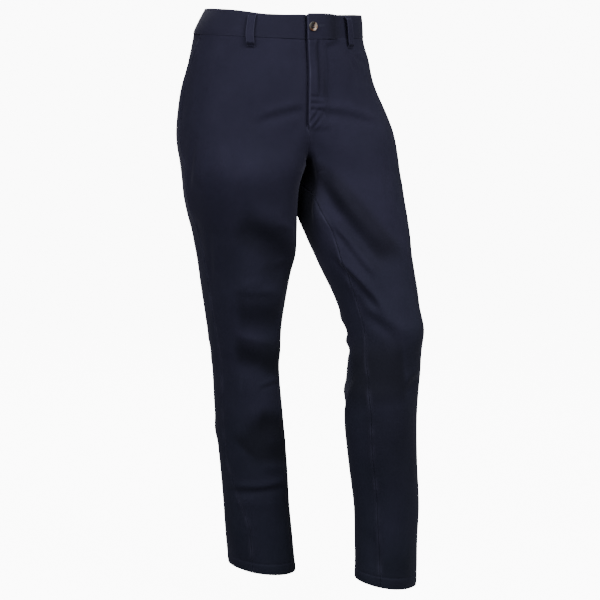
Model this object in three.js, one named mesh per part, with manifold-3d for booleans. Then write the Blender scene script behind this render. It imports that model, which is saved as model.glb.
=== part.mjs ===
// Chino trousers in the hollow form that they keep when worn: a step forward on the left leg,
// the weight on the right one.
//
// Units are millimetres, +Z is up, the front faces -Y and the wearer's left is +X. The origin is the
// middle of the waist opening, halfway up the waistband, where the wearer holds the garment up.
//
// Every panel is cut from one surface for each leg. A place on it is a drop, counted down from the
// waist seam, and an angle round the leg: 0 at the inside, 90 at the front, 180 at the outside and
// 270 at the back. Above the crotch the two legs' surfaces run into each other, and are cut off at
// the middle seam, so each is half of the seat.
import * as THREE from "three";
import { mergeVertices } from "three/addons/utils/BufferGeometryUtils.js";
import Module from "manifold-3d";

// Driving dimensions.
const BAND_HEIGHT = 42;
const BAND_THICK = 3;
const CLOTH_THICK = 1.2;
const HEM_DEPTH = 24;
const HEM_THICK = 2.4;
const SEAM_GAP = 0.3;
const CROTCH_DROP = 240;
const FLY_LENGTH = 167;
const FLY_LAP = { raise: 2.8, wide: 34, fade: 22, over: 2, under: 10 };
const BAND_LAP = { raise: 3.9, wide: 40, fade: 30, over: 3, under: 34, round: 4 };
const POCKET = { top: 178, length: 150, facing: 9, spare: 16, inset: 2.6 };
const LOOP = { wide: 14.5, thick: 1.5, gap: 5.6, foot: 0.3, bend: 7, above: 41, below: 17 };
const BUTTON = { radius: 9.2, thick: 3.2, rim: 1.7, dish: 0.9, hole: 1.1, holeRing: 2.6 };
const BUTTON_PLACE = { across: 11, drop: -24 };

// The section of the leg at each drop. out and back place its middle, outwards from the middle seam
// and backwards. inner, outer, front and rear are how far it reaches from there. turn is how far it
// is twisted towards the wearer's left, in degrees. pitch lowers its front half and roll tilts all of
// it, as a rise in mm for each mm backwards and to the wearer's left. inseam and outseam are the
// angles of the two leg seams.
const COLUMNS = [
  "drop", "out", "back", "inner", "outer", "front", "rear", "turn", "pitch", "roll", "inseam", "outseam",
];
const RIGHT_LEG = [
  [-42, 0, 0, 146, 133, 121, 112, 0, 0.02, -0.04, 0, 194],
  [-21, 0, 0, 148, 147, 122, 114, 0, 0.02, -0.04, 0, 194],
  [0, 0, 0, 150, 158, 123, 115, 0, 0.02, -0.04, 0, 194],
  [50, 4, 0, 150, 165, 126, 122, 0, 0.02, -0.03, 0, 193],
  [100, 12, 2, 145, 173, 128, 136, 0, 0.01, -0.01, 0, 190],
  [150, 30, 4, 130, 163, 126, 145, 0, 0, 0, 0, 186],
  [200, 62, -3, 108, 134, 120, 140, 0, 0, 0, 0, 185],
  [240, 86.3, -20, 86, 109, 114, 128, 0, 0, 0, 0, 185],
  [265, 87, -17, 87, 109, 111, 122, 1, 0, 0, 1, 185],
  [300, 85, -12, 89, 107, 106, 116, 2, 0, 0, 2, 185],
  [345, 80, -4, 88, 97, 100, 108, 4, 0, 0, 3, 185],
  [400, 75, 5, 83, 85, 94, 100, 8, 0, 0, 4, 185],
  [480, 76, 10, 71, 73, 80, 86, 13, 0, 0, 6, 185],
  [560, 74, 14, 60, 60, 67, 73, 18, 0, 0, 8, 186],
  [620, 68, 20, 55, 56, 62, 68, 22, 0, 0, 9, 188],
  [700, 59, 28, 57, 57, 63, 66, 26, 0, 0, 10, 194],
  [770, 50, 34, 55, 55, 65, 66, 28, 0, 0, 11, 197],
  [850, 40, 42, 51, 52, 65, 65, 30, 0, 0, 12, 183],
  [930, 30, 49, 51, 53, 66, 66, 30, 0.01, 0, 12, 165],
  [1014, 19, 55, 50, 52, 67, 68, 30, 0.02, -0.02, 12, 167],
];
const LEFT_LEG = [
  [-42, 0, 0, 146, 160, 121, 112, 0, 0.02, 0, 0, 194],
  [-21, 0, 0, 148, 162, 122, 114, 0, 0.02, 0, 0, 194],
  [0, 0, 0, 150, 164, 123, 115, 0, 0.02, 0, 0, 194],
  [50, 4, 0, 150, 170, 126, 122, 0, 0.02, 0, 0, 193],
  [100, 12, 0, 145, 176, 130, 134, 0, 0.01, 0, 0, 190],
  [150, 34, -10, 130, 172, 130, 142, 0, 0, 0, 0, 186],
  [200, 70, -28, 110, 137, 118, 138, 0, 0, 0, 0, 185],
  [240, 98.3, -46, 98, 102, 104, 128, 0, 0, 0, 0, 185],
  [265, 102, -58, 99, 99, 100, 125, 1, 0, 0, 1, 184],
  [300, 106, -75, 99, 94, 94, 118, 4, 0, 0, 2, 184],
  [345, 107, -98, 91, 88, 89, 106, 8, 0, 0, 3, 183],
  [400, 104, -125, 82, 84, 84, 94, 12, 0, 0, 1, 182],
  [480, 116, -160, 69, 70, 71, 80, 18, 0, 0, 0, 180],
  [556, 116, -188, 62, 62, 66, 74, 26, 0, 0, -1, 180],
  [640, 108, -192, 62, 62, 63, 68, 32, 0, 0, 7, 179],
  [700, 107, -190, 62, 62, 62, 67, 34, 0, 0, 10, 178],
  [850, 123, -182, 59, 59, 57, 61, 34, 0, 0, 9, 176],
  [930, 127, -176, 59, 59, 55, 58, 34, 0.02, -0.06, 13, 175],
  [1004, 128, -172, 60, 59, 54, 56, 34, 0.08, -0.15, 18, 174],
];
// How far the middle seam is pulled to the wearer's left.
const SEAM_COLUMNS = ["drop", "shift"];
const MIDDLE_SEAM = [
  [-42, 0],
  [0, 0],
  [100, 3],
  [200, 10],
  [240, 12],
  [1020, 12],
];

// The largest folds, each a soft trough (depth below 0) or ridge from one place to another.
const FOLD_COLUMNS = ["angle1", "drop1", "angle2", "drop2", "width", "depth"];
const RIGHT_FOLDS = [
  [120, 140, 89, 112, 22, -2.5],
  [167, 182, 192, 350, 18, -3],
  [96, 316, 43, 436, 24, -4.5],
  [136, 456, 81, 518, 26, -4.5],
  [95, 600, 50, 640, 18, -3.5],
  [141, 678, 58, 738, 20, -4.5],
  [187, 852, 91, 852, 13, -4],
];
const LEFT_FOLDS = [
  [93, 120, 125, 150, 16, -2.5],
  [29, 256, 84, 386, 24, -5],
  [38, 326, 48, 420, 17, -4],
  [23, 400, 42, 490, 17, -4],
  [358, 594, 300, 704, 22, 4.5],
  [10, 905, 14, 965, 12, -2.5],
];

// The belt loops, by the angle of their upper and lower ends.
const LOOP_COLUMNS = ["name", "side", "upper", "lower"];
const LOOPS = [
  ["front_right", -1, 132, 127],
  ["front_left", 1, 121, 122],
  ["back_right", -1, 228, 228],
  ["back_left", 1, 227, 228],
  ["centre_back", 1, 270, 270],
];

// Drops at which the panels have a row of corners: closest round the crotch, where the seam turns.
const SEAT_ROWS = [0, 25, 50, 75, 100, 125, 146, 158, 170, 182, 194, 205, 215, 223, 230, 236, 240];
const THIGH_ROWS = [247, 258, 274, 294];
const LEG_STEP = 25;
const PANEL_COLUMNS = 10;
const BAND_COLUMNS = 22;
const BAND_ROWS = 3;
const LOOP_ROWS = 12;

// How square the sections' corners are: 2 is an ellipse.
const SQUARENESS = 2.2;
const NAVY = { color: 0x171a2c, roughness: 0.85, metalness: 0 };
const HORN = { color: 0x5a3a22, roughness: 0.3, metalness: 0 };

const DEGREE = Math.PI / 180;
const RIGHT = -1;
const LEFT = 1;

const legs = {
  [RIGHT]: leg("right", RIGHT_LEG, RIGHT_FOLDS),
  [LEFT]: leg("left", LEFT_LEG, LEFT_FOLDS),
};
const middleSeam = smoothTable(SEAM_COLUMNS, MIDDLE_SEAM);

function leg(name, sectionRows, foldRows) {
  return { name, sections: smoothTable(COLUMNS, sectionRows), folds: namedRows(FOLD_COLUMNS, foldRows) };
}

function namedRows(columns, rows) {
  return rows.map((row) => Object.fromEntries(columns.map((name, i) => [name, row[i]])));
}

// A table as a function of its first column: a smooth curve runs through each of the others. It turns
// back only at a row, because the slope there is 0 unless both sides rise or both fall.
function smoothTable(columns, rows) {
  const climb = (i, k) => (rows[i + 1][k] - rows[i][k]) / (rows[i + 1][0] - rows[i][0]);
  const slope = (i, k) => {
    const before = climb(Math.max(i - 1, 0), k);
    const after = climb(Math.min(i, rows.length - 2), k);
    return before * after > 0 ? (2 * before * after) / (before + after) : 0;
  };
  return (at) => {
    const place = Math.min(Math.max(at, rows[0][0]), rows.at(-1)[0]);
    const i = Math.min(rows.findLastIndex((row) => row[0] <= place), rows.length - 2);
    const step = rows[i + 1][0] - rows[i][0];
    const s = (place - rows[i][0]) / step;
    const values = columns.map((_, k) => {
      const [a, b] = [rows[i][k], rows[i + 1][k]];
      return (
        a * (2 * s ** 3 - 3 * s ** 2 + 1) +
        b * (3 * s ** 2 - 2 * s ** 3) +
        step * slope(i, k) * (s ** 3 - 2 * s ** 2 + s) +
        step * slope(i + 1, k) * (s ** 3 - s ** 2)
      );
    });
    return Object.fromEntries(columns.map((name, k) => [name, values[k]]));
  };
}

// 0 before the first value, 1 after the second, and smooth between.
function fade(from, to, value) {
  return THREE.MathUtils.smoothstep((value - from) / (to - from), 0, 1);
}

function squared(value) {
  return Math.sign(value) * Math.abs(value) ** (2 / SQUARENESS);
}

// The angle at which a section comes within short of the middle seam; short below 0 is past it.
function splitAngle(section, short) {
  const share = THREE.MathUtils.clamp((section.out - short) / section.inner, -1, 1);
  return Math.acos(Math.sign(share) * Math.abs(share) ** (SQUARENESS / 2)) / DEGREE;
}

// How far back a leg's section meets the middle seam, in front or behind.
function seamDepth(side, drop, behind) {
  const section = legs[side].sections(Math.min(drop, CROTCH_DROP));
  const across = squared(Math.sin(splitAngle(section, SEAM_GAP) * DEGREE));
  return section.back + (behind ? section.rear : -section.front) * across;
}

// Both legs' edges meet on one line, so each is drawn towards the mean of the two.
function seamPull(side, drop, angle) {
  const behind = angle > 180;
  const own = seamDepth(side, drop, behind);
  const other = seamDepth(-side, drop, behind);
  const split = drop < CROTCH_DROP ? splitAngle(legs[side].sections(drop), SEAM_GAP) : 0;
  const away = Math.abs(behind ? 360 - angle : angle) - split;
  return 0.5 * (other - own) * (1 - fade(0, 60, away)) * (1 - fade(CROTCH_DROP, CROTCH_DROP + 60, drop));
}

// The height of all the folds at a place: each is a bell curve across its line, and dies out at its ends.
function foldHeight(side, drop, angle, section) {
  const girth = (section.inner + section.outer + section.front + section.rear) / 4;
  const around = girth * DEGREE;
  const height = (fold, turn) => {
    const along = new THREE.Vector2((fold.angle2 - fold.angle1) * around, fold.drop2 - fold.drop1);
    const here = new THREE.Vector2((angle + turn - fold.angle1) * around, drop - fold.drop1);
    const length = along.length();
    const t = here.dot(along) / length ** 2;
    const across = here.cross(along) / length / fold.width;
    return fold.depth * Math.exp(-(across ** 2)) * fade(-0.2, 0.25, t) * (1 - fade(0.75, 1.2, t));
  };
  const whole = (fold) => [-360, 0, 360].reduce((sum, turn) => sum + height(fold, turn), 0);
  return legs[side].folds.reduce((sum, fold) => sum + whole(fold), 0);
}

// The leg's surface without folds or laps: four quarters of a squared ellipse, twisted and tilted.
function barePoint(side, drop, angle) {
  const section = legs[side].sections(drop);
  const across = squared(Math.cos(angle * DEGREE));
  const deep = squared(Math.sin(angle * DEGREE));
  const x = -side * across * (across > 0 ? section.inner : section.outer);
  const y = -deep * (deep > 0 ? section.front : section.rear) + seamPull(side, drop, angle);
  const turned = new THREE.Vector2(x, y).rotateAround(new THREE.Vector2(), section.turn * DEGREE);
  return new THREE.Vector3(
    middleSeam(drop).shift + side * section.out + turned.x,
    section.back + turned.y,
    -BAND_HEIGHT / 2 - drop + section.pitch * Math.min(turned.y, 0) + section.roll * turned.x,
  );
}

function outwards(side, drop, angle) {
  const around = barePoint(side, drop, angle + 1).sub(barePoint(side, drop, angle - 1));
  const down = barePoint(side, drop + 1, angle).sub(barePoint(side, drop - 1, angle));
  return down.cross(around).multiplyScalar(side).normalize();
}

// A place on the cloth's outer face, or raise above it along the outward direction. The folds die
// out towards the waist and the middle seam.
function clothPoint(side, drop, angle, raise = 0) {
  const section = legs[side].sections(drop);
  const bare = barePoint(side, drop, angle);
  const fromSeam = fade(4, 34, Math.abs(bare.x - middleSeam(drop).shift));
  const free = fade(0, 60, drop) * Math.max(fromSeam, fade(CROTCH_DROP, CROTCH_DROP + 60, drop));
  const folds = free * foldHeight(side, drop, angle, section);
  return bare.addScaledVector(outwards(side, drop, angle), folds + raise);
}

// A closed wall between two equal grids of points.
function wallBetween(outer, inner) {
  const rows = outer.length;
  const columns = outer[0].length;
  const points = [...outer.flat(), ...inner.flat()];
  const at = (layer, i, j) => layer * rows * columns + i * columns + j;
  const faces = [];
  const quad = (a, b, c, d) => faces.push(a, b, c, a, c, d);
  for (let i = 0; i < rows - 1; i++) {
    for (let j = 0; j < columns - 1; j++) {
      quad(at(0, i, j), at(0, i + 1, j), at(0, i + 1, j + 1), at(0, i, j + 1));
      quad(at(1, i, j), at(1, i, j + 1), at(1, i + 1, j + 1), at(1, i + 1, j));
    }
    quad(at(0, i, 0), at(1, i, 0), at(1, i + 1, 0), at(0, i + 1, 0));
    const j = columns - 1;
    quad(at(0, i, j), at(0, i + 1, j), at(1, i + 1, j), at(1, i, j));
  }
  for (let j = 0; j < columns - 1; j++) {
    quad(at(0, 0, j), at(0, 0, j + 1), at(1, 0, j + 1), at(1, 0, j));
    const i = rows - 1;
    quad(at(0, i, j), at(1, i, j), at(1, i, j + 1), at(0, i, j + 1));
  }
  return facingOut(points, faces);
}

// Six times the signed volume tells whether the faces point in, and then each is turned round.
function facingOut(points, faces) {
  let volume = 0;
  for (let f = 0; f < faces.length; f += 3) {
    const [a, b, c] = faces.slice(f, f + 3).map((k) => points[k]);
    volume += a.dot(b.clone().cross(c));
  }
  const index = volume < 0 ? faces.toReversed() : faces;
  const geometry = new THREE.BufferGeometry().setFromPoints(points).setIndex(index);
  geometry.computeVertexNormals();
  return geometry;
}

function steps(from, to, count) {
  return Array.from({ length: count + 1 }, (_, i) => from + ((to - from) * i) / count);
}

// The drops of a panel's rows, the last two of them a thin step where the turned-up hem begins.
function panelRows(side) {
  const length = legLength(side);
  const top = THIGH_ROWS.at(-1);
  const hem = length - HEM_DEPTH;
  const count = Math.round((hem - top) / LEG_STEP);
  return [...SEAT_ROWS, ...THIGH_ROWS, ...steps(top, hem, count).slice(1), hem + SEAM_GAP, length];
}

function legLength(side) {
  return (side === RIGHT ? RIGHT_LEG : LEFT_LEG).at(-1)[0];
}

// Half a seam gap as an angle at this section.
function halfGap(section) {
  return (0.7 * SEAM_GAP) / (section.inner * DEGREE);
}

// The left front's fly laps over the right front. Both come back to the middle seam below the fly.
function flyEdge(side, drop) {
  const laps = side === LEFT ? FLY_LAP.over : FLY_LAP.under;
  return laps * (1 - fade(FLY_LENGTH - 17, FLY_LENGTH - 6, drop));
}

function lapRaise(side, lap, drop, point) {
  if (side === RIGHT) return 0;
  const across = point.x - middleSeam(drop).shift;
  return lap.raise * (1 - fade(lap.wide, lap.wide + lap.fade, across));
}

function wallOf(side, rows, columnAngles, thickness, raise) {
  const layer = (depth) =>
    rows.map((drop) => {
      const height = (angle) => raise(drop, angle) - depth(drop);
      return columnAngles(drop).map((angle) => clothPoint(side, drop, angle, height(angle)));
    });
  return wallBetween(layer(() => 0), layer(thickness));
}

const panelThickness = (side) => (drop) => drop > legLength(side) - HEM_DEPTH ? HEM_THICK : CLOTH_THICK;

// The pocket's slanted edge starts in front of the side seam and meets it at the pocket's foot.
function pocketAngle(section) {
  const slant = Math.min(Math.max(section.drop / POCKET.length, 0), 1);
  return POCKET.top + (section.outseam - POCKET.top) * slant;
}

// A front: fly edge, middle seam and inseam on one side, the pocket's slant and side seam on the other.
function frontPanel(side) {
  const { sections } = legs[side];
  const angles = (drop) => {
    const section = sections(drop);
    const short = SEAM_GAP - flyEdge(side, drop);
    const first = drop < CROTCH_DROP ? splitAngle(section, short) : section.inseam + halfGap(section);
    return steps(first, pocketAngle(section) - halfGap(section), PANEL_COLUMNS);
  };
  const raise = (drop, angle) => {
    const foot = 1 - fade(FLY_LENGTH - 5, FLY_LENGTH + 8, drop);
    return angle < 180 ? foot * lapRaise(side, FLY_LAP, drop, barePoint(side, drop, angle)) : 0;
  };
  return wallOf(side, panelRows(side), angles, panelThickness(side), raise);
}

// A back: side seam to middle seam and inseam, plain, with no pocket.
function backPanel(side) {
  const { sections } = legs[side];
  const angles = (drop) => {
    const section = sections(drop);
    const last = drop < CROTCH_DROP ? -splitAngle(section, SEAM_GAP) : section.inseam - halfGap(section);
    return steps(section.outseam + halfGap(section), 360 + last, PANEL_COLUMNS);
  };
  return wallOf(side, panelRows(side), angles, panelThickness(side), () => 0);
}

// The facing shows in the pocket's mouth, between the slanted edge and the side seam, and runs on
// under the front.
function pocketFacing(side) {
  const { sections } = legs[side];
  const rows = [...SEAT_ROWS.filter((drop) => drop <= POCKET.length), POCKET.length + POCKET.spare];
  const angles = (drop) => {
    const section = sections(drop);
    return steps(pocketAngle(section) - POCKET.facing, section.outseam - halfGap(section), 4);
  };
  return wallOf(side, rows, angles, () => CLOTH_THICK, () => -POCKET.inset);
}

// Half of the waistband. The left one's end laps over the right one's, and its top corner is rounded.
function waistband(side) {
  const { sections } = legs[side];
  const past = side === LEFT ? BAND_LAP.over : BAND_LAP.under;
  const first = splitAngle(sections(-BAND_HEIGHT / 2), -past);
  const last = 270 - halfGap(sections(0));
  const angles = () => steps(first, last, BAND_COLUMNS);
  const lengths = steps(0, 1, BAND_ROWS);
  const raise = (drop, angle) => {
    return angle < 180 ? lapRaise(side, BAND_LAP, drop, barePoint(side, drop, angle)) : 0;
  };
  const cornerCut = (k) => (side === LEFT && k === 0 ? BAND_LAP.round : 0);
  const layer = (depth) =>
    lengths.map((share) =>
      angles().map((angle, k) => {
        const drop = -SEAM_GAP - (BAND_HEIGHT - SEAM_GAP - cornerCut(k)) * share;
        return clothPoint(side, drop, angle, raise(drop, angle) - depth);
      }),
    );
  return wallBetween(layer(0), layer(BAND_THICK));
}

// A belt loop: a strip that is sewn down at both ends and stands clear of the band between them.
function beltLoop({ side, upper, lower }) {
  const rows = steps(-LOOP.above, LOOP.below, LOOP_ROWS);
  const lift = (drop) => {
    const nearEnd = Math.min(drop + LOOP.above, LOOP.below - drop);
    return LOOP.foot + (LOOP.gap - LOOP.foot) * fade(0, LOOP.bend, nearEnd);
  };
  const layer = (thick) =>
    rows.map((drop) => {
      const angle = upper + ((lower - upper) * (drop + LOOP.above)) / (LOOP.above + LOOP.below);
      const middle = clothPoint(side, drop, angle, lift(drop) + thick);
      const around = clothPoint(side, drop, angle + 1).sub(clothPoint(side, drop, angle - 1)).normalize();
      return [-0.5, 0.5].map((share) => middle.clone().addScaledVector(around, share * LOOP.wide));
    });
  return wallBetween(layer(LOOP.thick), layer(0));
}

// The waist button: a turned disc with a raised rim, a dished middle and four holes.
async function waistButton() {
  const { radius, thick, rim, dish, hole, holeRing } = BUTTON;
  const profile = [
    [0, 0], [radius - 1.2, 0], [radius, 1], [radius, thick - 0.8], [radius - 0.7, thick],
    [radius - rim, thick], [radius - rim - 0.9, thick - dish], [0, thick - dish],
  ];
  const turned = new THREE.LatheGeometry(profile.map(([r, h]) => new THREE.Vector2(r, h)), 32);
  turned.rotateX(90 * DEGREE);
  const bit = new THREE.CylinderGeometry(hole, hole, 4 * thick, 10).rotateX(90 * DEGREE);
  const wasm = await Module();
  wasm.setup();
  const solid = (geometry) => {
    const bare = geometry.clone();
    bare.deleteAttribute("normal");
    bare.deleteAttribute("uv");
    const merged = mergeVertices(bare, 1e-4);
    return new wasm.Manifold(
      new wasm.Mesh({
        numProp: 3,
        vertProperties: new Float32Array(merged.attributes.position.array),
        triVerts: new Uint32Array(merged.index.array),
      }),
    );
  };
  const drilled = [45, 135, 225, 315].reduce((body, angle) => {
    const [x, y] = [Math.cos(angle * DEGREE) * holeRing, Math.sin(angle * DEGREE) * holeRing];
    return body.subtract(solid(bit.clone().translate(x, y, 0)));
  }, solid(turned));
  const { vertProperties, triVerts } = drilled.getMesh();
  const geometry = new THREE.BufferGeometry();
  geometry.setAttribute("position", new THREE.BufferAttribute(vertProperties, 3));
  geometry.setIndex(new THREE.BufferAttribute(triVerts, 1));
  geometry.computeVertexNormals();
  return geometry;
}

// The button lies on the band's lap, its face outwards.
function placeButton(mesh) {
  const { across, drop } = BUTTON_PLACE;
  const share = across / legs[LEFT].sections(drop).outer;
  const angle = 180 - Math.acos(share ** (SQUARENESS / 2)) / DEGREE;
  const out = outwards(LEFT, drop, angle);
  mesh.position.copy(clothPoint(LEFT, drop, angle, BAND_LAP.raise + 2 * SEAM_GAP));
  mesh.quaternion.setFromUnitVectors(new THREE.Vector3(0, 0, 1), out);
  return mesh;
}

const navy = () => new THREE.MeshStandardMaterial(NAVY);
const trousers = new THREE.Group();

function addPiece(name, geometry, material) {
  const mesh = new THREE.Mesh(geometry, material);
  mesh.name = name;
  trousers.add(mesh);
  return mesh;
}

for (const side of [RIGHT, LEFT]) {
  const { name } = legs[side];
  addPiece(`front_${name}`, frontPanel(side), navy());
  addPiece(`back_${name}`, backPanel(side), navy());
  addPiece(`pocket_facing_${name}`, pocketFacing(side), navy());
  addPiece(`waistband_${name}`, waistband(side), navy());
}
for (const loop of namedRows(LOOP_COLUMNS, LOOPS)) {
  addPiece(`belt_loop_${loop.name}`, beltLoop(loop), navy());
}
placeButton(addPiece("waist_button", await waistButton(), new THREE.MeshStandardMaterial(HORN)));

export default trousers;
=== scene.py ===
"""Navy chino trousers, hollow as if worn: the left leg steps forward, the right one bears the weight.

Sizes in the tables are millimetres, and each mesh is written in metres. +Z is up, the front faces -Y
and the wearer's left is +X. The origin is the middle of the waist opening.
"""

import bpy
import numpy as np
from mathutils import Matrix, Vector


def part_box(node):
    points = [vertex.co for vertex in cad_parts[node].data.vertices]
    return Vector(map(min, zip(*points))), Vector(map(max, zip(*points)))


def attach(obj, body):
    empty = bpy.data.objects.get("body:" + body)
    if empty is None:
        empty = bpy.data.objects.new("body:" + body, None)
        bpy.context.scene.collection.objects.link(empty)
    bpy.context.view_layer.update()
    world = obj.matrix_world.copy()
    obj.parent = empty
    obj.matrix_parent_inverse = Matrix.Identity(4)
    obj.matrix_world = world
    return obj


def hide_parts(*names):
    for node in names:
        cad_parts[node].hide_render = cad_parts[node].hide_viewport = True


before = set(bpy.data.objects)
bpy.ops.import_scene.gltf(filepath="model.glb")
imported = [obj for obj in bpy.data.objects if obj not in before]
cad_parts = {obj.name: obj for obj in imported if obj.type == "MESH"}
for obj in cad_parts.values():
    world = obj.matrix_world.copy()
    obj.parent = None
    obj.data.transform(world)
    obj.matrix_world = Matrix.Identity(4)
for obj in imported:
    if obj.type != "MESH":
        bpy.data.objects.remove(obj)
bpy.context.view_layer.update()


# The fronts: one piece each from waist seam to hem, cut in cotton twill of about 270 g to the square
# metre. The left one's fly laps over the right one. Both have a slanted pocket mouth at the hip, and
# their lower edge is turned up 24 mm and stitched for a hem.
RIGHT, LEFT = -1, 1
SIDE_NAMES = {RIGHT: "right", LEFT: "left"}
BAND_HEIGHT = 42
CROTCH_DROP = 240
SEAM_GAP = 0.3
CLOTH_THICK = 1.2
# How far each side goes past the middle seam, and how far the panels stop short of the other seams.
MIDDLE_LAP = 0.2
EDGE_SHORT = 0.05
# The drop from which the two sides differ fast at the middle seam, and how many degrees away from it
# their mean reaches above and below that.
PULL = {"drop": 205, "above": 60, "below": 24}
HEM = {"depth": 24, "stitch": 21.5, "thick": 2.2}
FLY = {"raise": 2.8, "wide": 29, "fade": 11, "over": 2, "under": 10, "length": 167, "crease": 12.5}
POCKET = {"top": 178, "length": 150, "facing": 9, "spare": 16, "inset": 2.6, "gape": 1.6}
SQUARENESS = 2.2

# A leg's section at each drop below the waist seam. out and back place its middle, then come its
# reach inwards, outwards, forwards and backwards, its twist in degrees, its two tilts, and the angles
# of its seams. An angle of 0 is the inside of the leg, 90 the front, 180 the outside, 270 the back.
SECTION_COLUMNS = (
    "drop", "out", "back", "inner", "outer", "front", "rear", "turn", "pitch", "roll", "inseam", "outseam",
)
LEG_SECTIONS = {
    RIGHT: (
        (-42, 1, 0, 146, 133, 121, 112, 0, 0.02, -0.04, 0, 194),
        (-21, 1, 0, 148, 147, 122, 114, 0, 0.02, -0.04, 0, 194),
        (0, 1, 0, 150, 158, 123, 115, 0, 0.02, -0.04, 0, 194),
        (50, 5, 0, 150, 165, 126, 122, 0, 0.02, -0.03, 0, 193),
        (100, 10, 2, 145, 173, 128, 136, 0, 0.01, -0.01, 0, 190),
        (150, 24, 4, 130, 163, 126, 145, 0, 0, 0, 0, 186),
        (200, 57, -3, 108, 134, 120, 140, 0, 0, 0, 0, 185),
        (240, 86.3, -20, 86, 109, 114, 128, 0, 0, 0, 0, 185),
        (265, 87, -17, 87, 109, 111, 122, 1, 0, 0, 1, 185),
        (300, 85, -12, 89, 107, 106, 116, 2, 0, 0, 2, 185),
        (345, 80, -4, 88, 97, 100, 108, 4, 0, 0, 3, 185),
        (400, 75, 5, 83, 85, 94, 100, 8, 0, 0, 4, 185),
        (480, 76, 10, 71, 73, 80, 86, 13, 0, 0, 6, 185),
        (560, 74, 14, 60, 60, 67, 73, 18, 0, 0, 8, 186),
        (620, 68, 20, 55, 56, 62, 68, 22, 0, 0, 9, 188),
        (700, 59, 28, 57, 57, 63, 66, 26, 0, 0, 10, 194),
        (770, 50, 34, 55, 55, 65, 66, 28, 0, 0, 11, 197),
        (850, 40, 42, 51, 52, 65, 65, 30, 0, 0, 12, 183),
        (930, 30, 49, 51, 53, 66, 66, 30, 0.02, -0.03, 12, 165),
        (1014, 19, 55, 50, 52, 67, 68, 30, 0.06, -0.11, 12, 167),
    ),
    LEFT: (
        (-42, -1, 0, 146, 160, 121, 112, 0, 0.02, 0, 0, 194),
        (-21, -1, 0, 148, 162, 122, 114, 0, 0.02, 0, 0, 194),
        (0, -1, 0, 150, 164, 123, 115, 0, 0.02, 0, 0, 194),
        (50, 3, 0, 150, 170, 126, 122, 0, 0.02, 0, 0, 193),
        (100, 14, 0, 145, 176, 130, 134, 0, 0.01, 0, 0, 190),
        (150, 40, -10, 130, 172, 130, 142, 0, 0, 0, 0, 186),
        (200, 75, -28, 110, 137, 118, 138, 0, 0, 0, 0, 185),
        (240, 98.3, -46, 98, 102, 104, 128, 0, 0, 0, 0, 185),
        (265, 102, -58, 99, 99, 100, 125, 1, 0, 0, 10, 184),
        (300, 106, -75, 99, 94, 94, 118, 4, 0, 0, 22, 184),
        (345, 107, -98, 91, 88, 89, 106, 8, 0, 0, 22, 183),
        (400, 104, -125, 82, 84, 84, 94, 12, 0, 0, 20, 182),
        (480, 116, -160, 69, 70, 71, 80, 18, 0, 0, 7, 180),
        (556, 116, -188, 62, 62, 66, 74, 26, 0, 0, -3, 180),
        (640, 108, -192, 62, 62, 63, 68, 32, 0, 0, 7, 179),
        (700, 107, -190, 62, 62, 62, 67, 34, 0, 0, 10, 178),
        (850, 123, -182, 59, 59, 57, 61, 34, 0, 0, 9, 176),
        (930, 127, -176, 59, 59, 55, 58, 34, 0.02, -0.06, 13, 175),
        (1004, 128, -172, 60, 59, 54, 56, 34, 0.08, -0.17, 18, 174),
    ),
}
# How far the middle seam is pulled to the wearer's left at each drop.
MIDDLE_SEAM = ((-42, 1), (0, 1), (50, 2.5), (100, 1), (150, 0.5), (200, 5), (240, 12), (1020, 12))

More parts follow.
